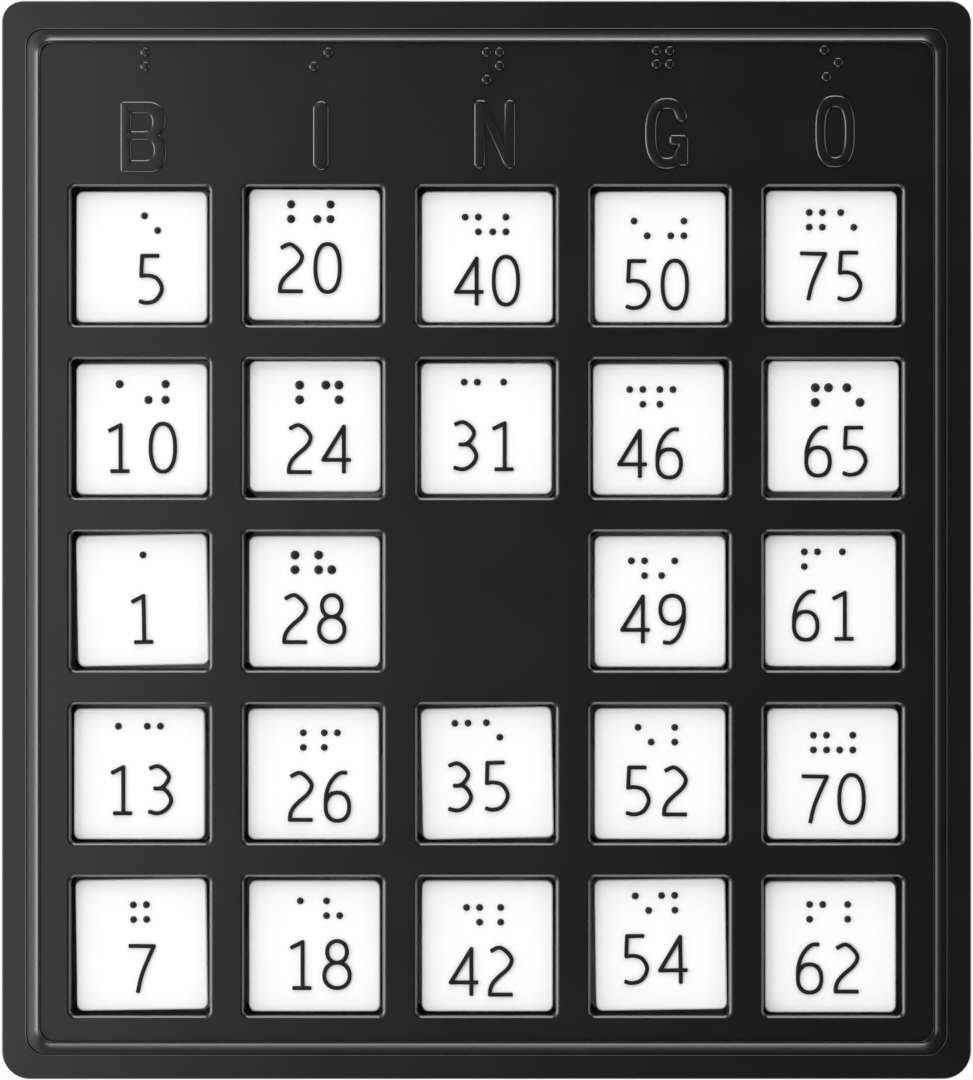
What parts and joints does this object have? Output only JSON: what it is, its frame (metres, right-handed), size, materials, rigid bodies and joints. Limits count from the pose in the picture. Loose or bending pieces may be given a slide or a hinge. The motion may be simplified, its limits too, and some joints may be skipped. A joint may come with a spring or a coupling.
{
  "type": "braille bingo board",
  "caption": "Flat game board with a bevelled frame, a grid of push-down number tiles in sleeved windows, a solid free place, a back cover with finger holes, screws and rubber feet.",
  "frame": {"origin": "under the middle of the board, on the plane that the feet stand on", "axes": "+Z out of the printed side, +Y towards the header, +X to the right for someone who faces the board"},
  "size_m": [0.185, 0.2056, 0.0146],
  "materials": {
    "black_plastic": "satin, moulded",
    "back_plastic": "matte, moulded",
    "white_plastic": "satin, moulded",
    "zinc_steel": "zinc plated",
    "black_rubber": "matte"
  },
  "bodies": {
    "board": {"bezel_frame": "black_plastic", "face_plate": "black_plastic", "back_cover": "back_plastic", "cover_screw_1": "zinc_steel", "cover_screw_2": "zinc_steel", "cover_screw_3": "zinc_steel", "cover_screw_4": "zinc_steel", "cover_screw_5": "zinc_steel", "cover_screw_6": "zinc_steel", "cover_screw_7": "zinc_steel", "foot_front_left": "black_rubber", "foot_front_right": "black_rubber", "foot_back_left": "black_rubber", "foot_back_right": "black_rubber"},
    "tile_05": {"number_tile_05": "white_plastic"},
    "tile_20": {"number_tile_20": "white_plastic"},
    "tile_40": {"number_tile_40": "white_plastic"},
    "tile_50": {"number_tile_50": "white_plastic"},
    "tile_75": {"number_tile_75": "white_plastic"},
    "tile_10": {"number_tile_10": "white_plastic"},
    "tile_24": {"number_tile_24": "white_plastic"},
    "tile_31": {"number_tile_31": "white_plastic"},
    "tile_46": {"number_tile_46": "white_plastic"},
    "tile_65": {"number_tile_65": "white_plastic"},
    "tile_01": {"number_tile_01": "white_plastic"},
    "tile_28": {"number_tile_28": "white_plastic"},
    "tile_49": {"number_tile_49": "white_plastic"},
    "tile_61": {"number_tile_61": "white_plastic"},
    "tile_13": {"number_tile_13": "white_plastic"},
    "tile_26": {"number_tile_26": "white_plastic"},
    "tile_35": {"number_tile_35": "white_plastic"},
    "tile_52": {"number_tile_52": "white_plastic"},
    "tile_70": {"number_tile_70": "white_plastic"},
    "tile_07": {"number_tile_07": "white_plastic"},
    "tile_18": {"number_tile_18": "white_plastic"},
    "tile_42": {"number_tile_42": "white_plastic"},
    "tile_54": {"number_tile_54": "white_plastic"},
    "tile_62": {"number_tile_62": "white_plastic"}
  },
  "joints": [
    {"name": "press_05", "type": "slide", "parent": "board", "child": "tile_05", "axis": [0, 0, -1], "range_m": [0, 0.0025]},
    {"name": "press_20", "type": "slide", "parent": "board", "child": "tile_20", "axis": [0, 0, -1], "range_m": [0, 0.0025]},
    {"name": "press_40", "type": "slide", "parent": "board", "child": "tile_40", "axis": [0, 0, -1], "range_m": [0, 0.0025]},
    {"name": "press_50", "type": "slide", "parent": "board", "child": "tile_50", "axis": [0, 0, -1], "range_m": [0, 0.0025]},
    {"name": "press_75", "type": "slide", "parent": "board", "child": "tile_75", "axis": [0, 0, -1], "range_m": [0, 0.0025]},
    {"name": "press_10", "type": "slide", "parent": "board", "child": "tile_10", "axis": [0, 0, -1], "range_m": [0, 0.0025]},
    {"name": "press_24", "type": "slide", "parent": "board", "child": "tile_24", "axis": [0, 0, -1], "range_m": [0, 0.0025]},
    {"name": "press_31", "type": "slide", "parent": "board", "child": "tile_31", "axis": [0, 0, -1], "range_m": [0, 0.0025]},
    {"name": "press_46", "type": "slide", "parent": "board", "child": "tile_46", "axis": [0, 0, -1], "range_m": [0, 0.0025]},
    {"name": "press_65", "type": "slide", "parent": "board", "child": "tile_65", "axis": [0, 0, -1], "range_m": [0, 0.0025]},
    {"name": "press_01", "type": "slide", "parent": "board", "child": "tile_01", "axis": [0, 0, -1], "range_m": [0, 0.0025]},
    {"name": "press_28", "type": "slide", "parent": "board", "child": "tile_28", "axis": [0, 0, -1], "range_m": [0, 0.0025]},
    {"name": "press_49", "type": "slide", "parent": "board", "child": "tile_49", "axis": [0, 0, -1], "range_m": [0, 0.0025]},
    {"name": "press_61", "type": "slide", "parent": "board", "child": "tile_61", "axis": [0, 0, -1], "range_m": [0, 0.0025]},
    {"name": "press_13", "type": "slide", "parent": "board", "child": "tile_13", "axis": [0, 0, -1], "range_m": [0, 0.0025]},
    {"name": "press_26", "type": "slide", "parent": "board", "child": "tile_26", "axis": [0, 0, -1], "range_m": [0, 0.0025]},
    {"name": "press_35", "type": "slide", "parent": "board", "child": "tile_35", "axis": [0, 0, -1], "range_m": [0, 0.0025]},
    {"name": "press_52", "type": "slide", "parent": "board", "child": "tile_52", "axis": [0, 0, -1], "range_m": [0, 0.0025]},
    {"name": "press_70", "type": "slide", "parent": "board", "child": "tile_70", "axis": [0, 0, -1], "range_m": [0, 0.0025]},
    {"name": "press_07", "type": "slide", "parent": "board", "child": "tile_07", "axis": [0, 0, -1], "range_m": [0, 0.0025]},
    {"name": "press_18", "type": "slide", "parent": "board", "child": "tile_18", "axis": [0, 0, -1], "range_m": [0, 0.0025]},
    {"name": "press_42", "type": "slide", "parent": "board", "child": "tile_42", "axis": [0, 0, -1], "range_m": [0, 0.0025]},
    {"name": "press_54", "type": "slide", "parent": "board", "child": "tile_54", "axis": [0, 0, -1], "range_m": [0, 0.0025]},
    {"name": "press_62", "type": "slide", "parent": "board", "child": "tile_62", "axis": [0, 0, -1], "range_m": [0, 0.0025]}
  ]
}
